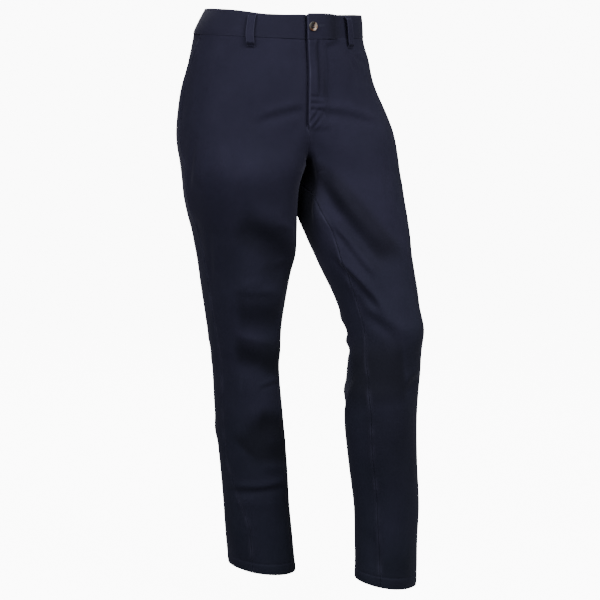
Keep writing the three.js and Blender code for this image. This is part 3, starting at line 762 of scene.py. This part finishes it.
# The pocket facings: what shows of them is a narrow wedge in each slanted pocket mouth, 2.6 mm under
# the front and flush with the back at the side seam.
def make_facing(side):
    """A strip from a little under the pocket's edge to the side seam, sunk under the front."""
    drops = np.append(np.arange(0, POCKET["length"], 3.0), POCKET["length"] + POCKET["spare"])
    section = leg_section(side, drops)
    first = pocket_angle(drops, section) - POCKET["facing"]
    last = section["outseam"] - half_gap(section)
    share = np.linspace(0, 1, 20)
    angles = first[:, None] + (last - first)[:, None] * share
    down = np.broadcast_to(drops[:, None], angles.shape)
    outer = cloth_surface(side, down, angles, -POCKET["inset"] * (1 - 0.75 * fade(0.55, 1, share)))
    inner = outer - outwards(side, down, angles) * CLOTH_THICK
    uv = np.stack([(angles - 180) * 2.8, -down], -1)
    return wall_mesh(f"pocket_facing_{SIDE_NAMES[side]}_cloth", outer, inner, uv, TWILL)


facings = {side: make_facing(side) for side in SIDE_NAMES}


# The waistband: two halves, 42 mm high, of two layers over a stiffener, joined at the centre back. The
# left half's end laps over the right one's and has a rounded top corner.
BAND = {"thick": 3, "proud": 0.6, "raise": 3.5, "wide": 44, "fade": 28, "over": 3, "under": 34, "corner": 4.5}
# How much the upper edge climbs near the lap, and the distances from the middle seam at which that
# starts to fade and has faded. The right one also climbs at the hip, between two places in x.
LAP_CLIMB = {RIGHT: (1.6, 10, 50), LEFT: (4.2, 26, 84)}
HIP_CLIMB = 5.6, -70, -132


def make_band(side):
    """A strip from the lap's end round to the centre back, its edges rolled and its face a little full."""
    past = BAND["over"] if side == LEFT else BAND["under"]
    section = leg_section(side, np.array([-BAND_HEIGHT / 2]))
    first, last = split_angle(section, -past), 270 - half_gap(section)
    fine = first + (last - first) * np.linspace(0, 1, 721)
    run = run_along(bare_surface(side, np.full(721, -BAND_HEIGHT / 2), fine))
    wide = run[-1]
    near = np.array([0, 0.3, 0.7, 1.2, 1.8, 2.5, 3.3, 4.2, 5.5, 7])
    place = np.concatenate([near, np.linspace(9, wide - 9, 200), wide - near[::-1]])
    up = np.array([0, 0.3, 0.8, 1.5, 2.5, 4, 6, 9, 13, 17, 21, 25, 29, 33, 36, 38.5, 40, 41, 41.5, 41.65])[:, None]
    fall = up[-1] - up
    inside = np.clip(1 - place / BAND["corner"], 0, 1)
    corner = BAND["corner"] * (1 - np.sqrt(1 - inside**2)) * (side == LEFT)
    drop = -up / up[-1] * (BAND_HEIGHT - corner)
    angle = np.broadcast_to(np.interp(place, run, fine), drop.shape)
    across = from_middle(side, drop, angle)
    in_front = angle < 180
    if side == LEFT:
        lap = BAND["raise"] * (1 - fade(BAND["wide"], BAND["wide"] + BAND["fade"], across))
        lap = (lap + 1.6 * bell(across - 46, 13) - 1.8 * bell(across - 78, 12)) * in_front
        end = folded_form(place, up)
    else:
        lap = -4.5 * np.maximum(bell(across - 3, 3.6), fade(3, 2, across)) * in_front
        end = 0
    edges = folded_form(up, place, 0.8) + folded_form(fall, place, 1.5)
    full = 0.4 * np.sin(np.pi * up / up[-1]) + seam_form(wide - place, up)
    ripples = 0.35 * np.sin(place / 23 + side) * np.sin(place / 61 + 1) + 0.25 * np.sin(place / 37 + up / 9)
    above = BAND["proud"] + lap + ripples
    outer = cloth_surface(side, drop, angle, above + edges + end + full)
    thick = BAND["thick"] + edges
    inner = cloth_surface(side, drop, angle, above) - outwards(side, drop, angle) * thick[..., None]
    climb = LAP_CLIMB[side][0] * (1 - fade(*LAP_CLIMB[side][1:], across)) * in_front
    if side == RIGHT:
        climb = climb + HIP_CLIMB[0] * fade(*HIP_CLIMB[1:], outer[..., 0])
    for face in (outer, inner):
        face[..., 2] += climb * up / up[-1]
    uv = np.stack(np.broadcast_arrays(place, -drop), -1)
    piece = wall_mesh(f"waistband_{SIDE_NAMES[side]}_cloth", outer, inner, uv, TWILL)
    # Rubbed dye on the band's edges, and a painted highlight on the lap's folded end.
    lap_end_highlight = 0.6 * bell(place - 1, 1.2) * (side == LEFT)
    paint(piece, "wear_and_highlight", 0.4 * bell(fall - 0.8, 1.2) + 0.2 * bell(up - 0.8, 0.9) + lap_end_highlight)
    # The whole band a little darker, and painted shade about 50 mm from the middle seam on the left half, where the
    # band turns away from the light.
    paint(piece, "painted_shade", 0.12 + 0.42 * bell(across - 50, 14) * (side == LEFT))
    return {"piece": piece, "up": up[:, 0], "outer": outer, "angles": angle[0], "wide": wide}


bands = {side: make_band(side) for side in SIDE_NAMES}


# The belt loops: folded strips 14.5 mm wide, sewn down at both ends with bar tacks and standing clear
# of the waistband between them.
LOOP = {"wide": 14.5, "thick": 1.5, "gap": 6, "foot": 1.0, "bend": 8, "above": 41, "below": 17, "cut": 62}
# Each loop's side, the angles of its upper and lower end, and how far it leans.
LOOPS = (
    ("front_right", RIGHT, 132, 127, 0.3),
    ("front_left", LEFT, 121, 122, -0.4),
    ("back_right", RIGHT, 228, 228, 0.2),
    ("back_left", LEFT, 227, 228, -0.2),
    ("centre_back", LEFT, 270, 270, 0.3),
)


def make_loop(name, side, upper, lower, lean):
    """A strip along a slanted line: it rises from the cloth within one bend of each end. Its face is a
    little hollow between its two rows of stitches, and its long edges are rolled."""
    drops = np.linspace(-LOOP["above"], LOOP["below"], 59)
    share = (drops + LOOP["above"]) / (LOOP["above"] + LOOP["below"])
    angles = upper + (lower - upper) * share
    near_end = np.minimum(drops + LOOP["above"], LOOP["below"] - drops)
    lift = LOOP["foot"] + (LOOP["gap"] - LOOP["foot"]) * fade(0, LOOP["bend"], near_end)
    lift = lift + 0.35 * np.sin(share * 7 + lean * 3) * fade(2, 14, near_end)
    out = outwards(side, drops, angles)[:, None]
    around = bare_surface(side, drops, angles + 1) - bare_surface(side, drops, angles - 1)
    around /= np.linalg.norm(around, axis=-1, keepdims=True)
    half = np.array([1, 3, 4.6, 5.6, 6.4, 6.9, LOOP["wide"] / 2])
    across = np.concatenate([-half[::-1], half])
    edge = LOOP["wide"] / 2 - np.abs(across)
    aside = across / LOOP["wide"]
    face = LOOP["thick"] + folded_form(edge, 0, 0.8) - 0.25 * bell(edge - 1.9, 0.8) + 0.15 * np.cos(aside * np.pi)
    base = lift[:, None] + lean * aside * fade(0, 10, near_end)[:, None]
    row = bare_surface(side, drops, angles)[:, None] + around[:, None] * across[:, None]
    outer, inner = (row + out * height[..., None] for height in (base + face, base))
    uv = np.stack(np.broadcast_arrays(across, -drops[:, None]), -1)
    node = f"belt_loop_{name}"
    piece = wall_mesh(f"{node}_cloth", outer, inner, uv, TWILL)
    paint(piece, "wear_and_highlight", np.broadcast_to(0.5 * bell(edge - 0.9, 0.9), base.shape))
    return {"piece": piece, "node": node, "side": side, "outer": outer, "across": across, "drops": drops}


loops = [make_loop(*row) for row in LOOPS]


# The sewing: navy thread in stitches about 3 mm long along the pocket mouths, the fly, the hems and
# the belt loops, with bar tacks where a seam ends and a worked buttonhole in the waistband's lap.
STITCH = {"pitch": 3.4, "long": 2.7, "thick": 0.28}
TACK = {"pitch": 0.55, "long": 2, "thick": 0.24}
HOLE = {"from": 10, "to": 27, "drop": -21.6, "aside": 0.95, "pitch": 0.62, "long": 1.5, "thick": 0.22}
# A stitch's rings: how far along it each lies, its size, and how far it is lifted off the cloth.
STITCH_RINGS = ((-0.5, 0.35, -0.5), (-0.3, 0.95, 0.25), (0, 1, 0.45), (0.3, 0.95, 0.25), (0.5, 0.35, -0.5))


def thread_material(name, colour):
    return shaded_material(name, {"Base Color": colour, "Roughness": 0.85, "Specular IOR Level": 0.2})[0]


THREAD = thread_material("navy thread", (0.0115, 0.011, 0.026, 1))
TWIST = thread_material("buttonhole twist", (0.03, 0.032, 0.053, 1))


def rank(value, rising):
    """The place of a value in a rising list, with its fraction between two entries."""
    return np.interp(value, rising, np.arange(len(rising)))


def on_grid(grid, row, column):
    """The place and outward normal at fractional rows and columns of a grid of points."""
    rows, columns = grid.shape[:2]
    i = np.clip(row.astype(int), 0, rows - 2)
    j = np.clip(column.astype(int), 0, columns - 2)
    s, t = (row - i)[:, None], (column - j)[:, None]
    a, b, c, d = grid[i, j], grid[i, j + 1], grid[i + 1, j], grid[i + 1, j + 1]
    point = (1 - s) * ((1 - t) * a + t * b) + s * ((1 - t) * c + t * d)
    normal = np.cross(c - a + d - b, b - a + d - c)
    return point, normal / np.linalg.norm(normal, axis=-1, keepdims=True)


def fly_line(panel):
    """The points and normals along the fly's stitching, whose table gives distances from the middle
    seam and drops."""
    fine = np.linspace(0, len(FLY_STITCH) - 1, 120)
    across, drop = (np.interp(fine, np.arange(len(FLY_STITCH)), column) for column in zip(*FLY_STITCH))
    angle = split_angle(leg_section(LEFT, drop), across)
    row = rank(drop, panel["drops"])
    column = np.array([rank(a, panel["angles"][i]) for a, i in zip(angle, np.round(row).astype(int))])
    return on_grid(panel["outer"], row, column)


def even_run(points, normals, pitch):
    """The points and normals of a line at even steps along it, and its direction there."""
    run = run_along(points)
    at = np.arange(pitch / 2, run[-1], pitch)

    def pick(values, place):
        return np.stack([np.interp(place, run, column) for column in values.T], -1)

    ahead = pick(points, at + 0.4) - pick(points, at)
    ahead /= np.maximum(np.linalg.norm(ahead, axis=-1, keepdims=True), 1e-9)
    return pick(points, at), pick(normals, at), ahead


def spindles(centre, normal, ahead, length, thick):
    """The points of many stitches, each a spindle of five six-sided rings that dips into the cloth at
    both ends: the middle line along ahead, plus a circle between the normal and the side way."""
    along, size, lift = np.array(STITCH_RINGS).T[..., None]
    turn = np.radians(np.arange(0, 360, 60))[:, None]
    middle = centre[:, None] + ahead[:, None] * along * length[:, None, None] + normal[:, None] * thick * lift
    circle = np.cross(normal, ahead)[:, None] * np.cos(turn) + normal[:, None] * np.sin(turn)
    return middle[:, :, None] + circle[:, None] * thick * size[:, None]


def spindle_mesh(name, points, material):
    at = np.arange(points.size // 3).reshape(points.shape[:3])
    after = np.roll(at, -1, axis=2)
    faces = np.stack([at[:, :-1], after[:, :-1], after[:, 1:], at[:, 1:]], -1)
    return mesh_object(name, points.reshape(-1, 3), faces.reshape(-1, 4), material)


def sewing(name, lines, material=THREAD):
    """A mesh of stitches. Each line is its points and normals, the stitches' pitch, length and
    thickness, and whether they lie across it. Chance turns and stretches each stitch a little."""
    chance = np.random.default_rng(len(lines))
    stitches = []
    for line, normals, pitch, length, thick, crosswise in lines:
        centre, normal, ahead = even_run(line, normals, pitch)
        turned, stretch = np.array([(chance.normal(), chance.uniform(0.94, 1.05)) for _ in centre]).T
        heading = np.cross(normal, ahead) if crosswise else ahead
        heading = heading + 0.05 * turned[:, None] * np.cross(normal, heading)
        stitches.append(spindles(centre, normal, heading, length * stretch, thick))
    return spindle_mesh(name, np.concatenate(stitches), material)


def plain_line(points, normals):
    return points, normals, STITCH["pitch"], STITCH["long"], STITCH["thick"], False


def bar_tack(points, normals):
    return points, normals, TACK["pitch"], TACK["long"], TACK["thick"], True


def mouth_line(panel, side, drops, inset):
    """The points and normals of a line at a set distance inside a pocket mouth."""
    column = panel["angles"].shape[1] - 1 - rank(inset, EDGE_STEPS)
    point, normal = on_grid(panel["outer"], rank(drops, panel["drops"]), np.full(len(drops), column))
    return point, normal * side


def hem_line(panel, side):
    columns = np.linspace(0, panel["angles"].shape[1] - 1, 260)
    row = rank(leg_length(side) - HEM["stitch"], panel["drops"])
    point, normal = on_grid(panel["outer"], np.full(260, row), columns)
    return point, normal * side


FLY_STITCH = ((33, 3), (32.5, 40), (32, 75), (31, 105), (28.5, 124), (24, 137), (16, 149), (5, 158))
stitching = {}
for side, word in SIDE_NAMES.items():
    mouth = np.linspace(1, POCKET["length"] - 2, 90)
    lines = [plain_line(*mouth_line(fronts[side], side, mouth, inset)) for inset in (1.6, 6.2)]
    for end in (7, POCKET["length"] - 5):
        tack = [mouth_line(fronts[side], side, np.array([end]), inset) for inset in np.linspace(0.6, 8.5, 12)]
        lines.append(bar_tack(*(np.concatenate(values) for values in zip(*tack))))
    if side == LEFT:
        lines.append(plain_line(*fly_line(fronts[side])))
    lines.append(plain_line(*hem_line(fronts[side], side)))
    stitching[f"front_{word}"] = sewing(f"front_{word}_stitching", lines)
    stitching[f"back_{word}"] = sewing(f"back_{word}_stitching", [plain_line(*hem_line(backs[side], side))])


def on_loop(loop, drop, across):
    row, column = np.broadcast_arrays(rank(drop, loop["drops"]), rank(across, loop["across"]))
    point, normal = on_grid(loop["outer"], row, column)
    return point, normal * loop["side"]


for loop in loops:
    lines = [plain_line(*on_loop(loop, np.linspace(-39, 15.5, 70), at)) for at in (-4.9, 4.9)]
    lines += [bar_tack(*on_loop(loop, at, np.linspace(-6.2, 6.2, 20))) for at in (-38.5, 13)]
    stitching[loop["node"]] = sewing(f"{loop['node']}_stitching", lines)


def on_lap(across, drop):
    """The place and normal on the waistband's lap, by distance from the middle seam and by drop."""
    at = split_angle(leg_section(LEFT, -BAND_HEIGHT / 2), across)
    row, column = np.broadcast_arrays(rank(-drop, bands[LEFT]["up"]), rank(at, bands[LEFT]["angles"]))
    return on_grid(bands[LEFT]["outer"], row, column)


# A horizontal buttonhole, worked with close stitches on both sides and a tack at its end.
hole_lines = []
for way in (-1, 1):
    line = on_lap(np.linspace(HOLE["from"], HOLE["to"], 40), HOLE["drop"] + way * HOLE["aside"])
    hole_lines.append((*line, HOLE["pitch"], HOLE["long"], HOLE["thick"], True))
hole_end = on_lap(HOLE["to"] + 0.6, HOLE["drop"] + np.linspace(-1.6, 1.6, 12))
hole_lines.append((*hole_end, TACK["pitch"], HOLE["long"], HOLE["thick"], True))
hole_sewing = {RIGHT: [], LEFT: [sewing("buttonhole_stitching", hole_lines, TWIST)]}

for side, word in SIDE_NAMES.items():
    band = bands[side]
    for node, panel in ((f"front_{word}", fronts[side]), (f"back_{word}", backs[side])):
        finish_cloth(panel["piece"], node, [stitching[node]])
    finish_cloth(facings[side], f"pocket_facing_{word}")
    finish_cloth(band["piece"], f"waistband_{word}", hole_sewing[side])
for loop in loops:
    finish_cloth(loop["piece"], loop["node"], [stitching[loop["node"]]])


# The waist button: a brown horn-like button 17 mm wide, turned with a raised rim and a dished middle,
# with four holes. It is sewn to the right end of the waistband with navy thread and shows on the lap.
BUTTON = {"thick": 3.2, "dish": 0.9, "hole": 1.1, "ring": 2.6, "across": 11, "drop": -24}
# How much smaller the photo shows it than the solid, and how far it lies from the solid's place.
BUTTON_SIZE = 0.93
BUTTON_SHIFT = -2.4, 0, -1.4
HORN_STOPS = (
    (0.14, (0.08, 0.075, 0.072)), (0.38, (0.05, 0.043, 0.04)), (0.46, (0.012, 0.007, 0.004)),
    (0.64, (0.02, 0.01, 0.006)), (0.7, (0.27, 0.2, 0.155)), (0.88, (0.34, 0.27, 0.22)), (1, (0.2, 0.12, 0.08)),
)


def horn_material(centre):
    """Horn-like resin: a dark streak through the middle, grey to its left and pale to its right, and
    amber towards the edge, under a polish."""
    material, shader = shaded_material("horn", {"Roughness": 0.32, "Coat Weight": 0.25, "Coat Roughness": 0.08})
    place = add_node(material, "TexCoord", "Object", {})
    about = {"Vector": place, "Location": centre, "Rotation": (0, np.radians(22), 0)}
    turned = add_node(material, "Mapping", "Vector", about, vector_type="TEXTURE")
    shares = []
    for axis, low, high in (("X", -0.0092, 0.0092), ("Z", -0.0045, -0.0095)):
        value = add_node(material, "SeparateXYZ", axis, {"Vector": turned})
        span = {"Value": value, "From Min": low, "From Max": high}
        shares.append(add_node(material, "MapRange", "Result", span))
    cloud = add_node(material, "TexNoise", "Fac", {"Vector": turned, "Scale": 240})
    streaks = add_node(material, "Math", 0, {0: cloud, 1: 0.24, 2: shares[0]}, operation="MULTIPLY_ADD")
    colours = {"Factor": shares[1], "A": colour_ramp(material, streaks, HORN_STOPS), "B": (0.16, 0.055, 0.018, 1)}
    set_inputs(shader, {"Base Color": add_node(material, "Mix", "Result", colours, data_type="RGBA")})
    return material


def turned_button(centre, normal):
    """Rings from the middle of the face, down the dish, over the rounded rim and back under to the
    middle, 96 points each. Within a hole's radius of its middle the face drops 2 mm."""
    face = np.linspace(0.01, 5, 44)
    slope = np.array([5.6, 6.1, 6.6, 7])
    rim = np.radians(np.linspace(0, 180, 15))
    r = BUTTON_SIZE * np.concatenate([face, slope, 7.9 + 1.3 * np.sin(rim), [7.6, 4, 0.01]])
    top = BUTTON["thick"]
    rise = top - BUTTON["dish"] * (1 - fade(5.2, 7.2, slope))
    z = np.concatenate([np.full(44, top - BUTTON["dish"]), rise, top / 2 + top / 2 * np.cos(rim), [0, 0, 0]])
    turn = np.radians(np.arange(0, 360, 3.75))
    x, y = r[:, None] * np.cos(turn), r[:, None] * np.sin(turn)
    height = np.broadcast_to(z[:, None], x.shape).copy()
    for corner in np.radians((45, 135, 225, 315)):
        away = np.hypot(x - BUTTON["ring"] * np.cos(corner), y - BUTTON["ring"] * np.sin(corner))
        height[:44] -= 2 * fade(BUTTON["hole"] + 0.12, BUTTON["hole"] - 0.12, away[:44])
    up = np.array([0, 0, 1.0]) - normal * normal[2]
    up /= np.linalg.norm(up)
    right = np.cross(up, normal)
    base = centre - normal * top / 2
    points = base + x[..., None] * right + y[..., None] * up + height[..., None] * normal
    at = np.arange(x.size).reshape(x.shape)
    after = np.roll(at, -1, axis=1)
    faces = np.stack([at[:-1], at[1:], after[1:], after[:-1]], -1).reshape(-1, 4)
    button = mesh_object("horn_button", points.reshape(-1, 3), faces, horn_material(tuple(centre / 1000)))
    lanes = np.add.outer((-1.84, 1.84), (-0.45, -0.15, 0.15, 0.45)).reshape(-1, 1)
    middles = base + normal * (top - BUTTON["dish"] + 0.15) + up * lanes
    ways = (np.broadcast_to(way, middles.shape) for way in (normal, right))
    return button, spindle_mesh("button_threads", spindles(middles, *ways, np.full(8, 4.6), 0.3), THREAD)


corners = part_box("waist_button")
button_centre = np.mean(corners, axis=0) * 1000 + BUTTON_SHIFT
button_angle = split_angle(leg_section(LEFT, BUTTON["drop"]), BUTTON["across"])
button, button_threads = turned_button(button_centre, outwards(LEFT, BUTTON["drop"], button_angle))
for thing in (button, button_threads):
    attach(thing, "root")
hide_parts("waist_button")


# The studio: a pale floor that curves up behind, broad soft lights above and in front, and the camera
# where the photo was taken, level with the waist and looking slightly down.
def studio_floor():
    """A floor under the hems, which bends up into a wall far behind."""
    paper = {"Base Color": (0.9, 0.9, 0.9, 1), "Roughness": 0.9}
    glow = {"Emission Color": (1, 1, 1, 1), "Emission Strength": 10}
    bend = np.radians(np.linspace(0, 90, 16))[1:]
    y = np.concatenate([np.linspace(-6, 4, 12), 4 + 2 * np.sin(bend), np.full(6, 6.0)])
    z = np.concatenate([np.zeros(12), 2 - 2 * np.cos(bend), np.linspace(3, 9, 6)]) - 1.13
    points = np.stack(np.broadcast_arrays(np.linspace(-9, 9, 5), y[:, None], z[:, None]), -1) * 1000
    material = shaded_material("pale paper", {**paper, **glow})[0]
    return mesh_object("studio_floor", points.reshape(-1, 3), grid_faces(len(y), 5), material)


floor = studio_floor()
floor.visible_diffuse = floor.visible_glossy = False

LIGHT_COLUMNS = ("name", "x", "y", "z", "size", "power")
LIGHTS = (
    ("right key", 0.6, -2.4, 1.7, 1.9, 88),
    ("left key", -2.5, -1.6, 1.4, 1.9, 86),
    ("back", 0.6, 2.4, 1.2, 1.6, 50),
)
for row in LIGHTS:
    light = dict(zip(LIGHT_COLUMNS, row))
    lamp = bpy.data.lights.new(light["name"], "AREA")
    lamp.shape, lamp.size, lamp.energy = "DISK", light["size"], light["power"]
    holder = bpy.data.objects.new(light["name"], lamp)
    holder.location = light["x"], light["y"], light["z"]
    away = holder.location - Vector((0, 0, -0.35))
    holder.rotation_mode = "QUATERNION"
    holder.rotation_quaternion = away.to_track_quat("Z", "Y")
    bpy.context.scene.collection.objects.link(holder)

world = bpy.data.worlds.new("studio")
world.use_nodes = True
world.node_tree.nodes["Background"].inputs["Color"].default_value = (1, 1, 1, 1)
world.node_tree.nodes["Background"].inputs["Strength"].default_value = 0.12
bpy.context.scene.world = world

VIEW = {"azimuth": -27, "distance": 3.6, "aside": 0.042, "tilt": 8.06, "lens": 116.1}
turn, tilt = np.radians(VIEW["azimuth"]), np.radians(VIEW["tilt"])
to_right = np.array([np.cos(turn), np.sin(turn), 0])
ahead = np.array([-np.sin(turn), np.cos(turn), 0])
looking = ahead * np.cos(tilt) - np.array([0, 0, 1]) * np.sin(tilt)
camera = bpy.data.objects.new("camera", bpy.data.cameras.new("camera"))
camera.data.lens = VIEW["lens"]
camera.location = to_right * VIEW["aside"] - ahead * VIEW["distance"]
camera.rotation_mode = "QUATERNION"
camera.rotation_quaternion = Vector(looking).to_track_quat("-Z", "Y")
bpy.context.scene.collection.objects.link(camera)
bpy.context.scene.camera = camera
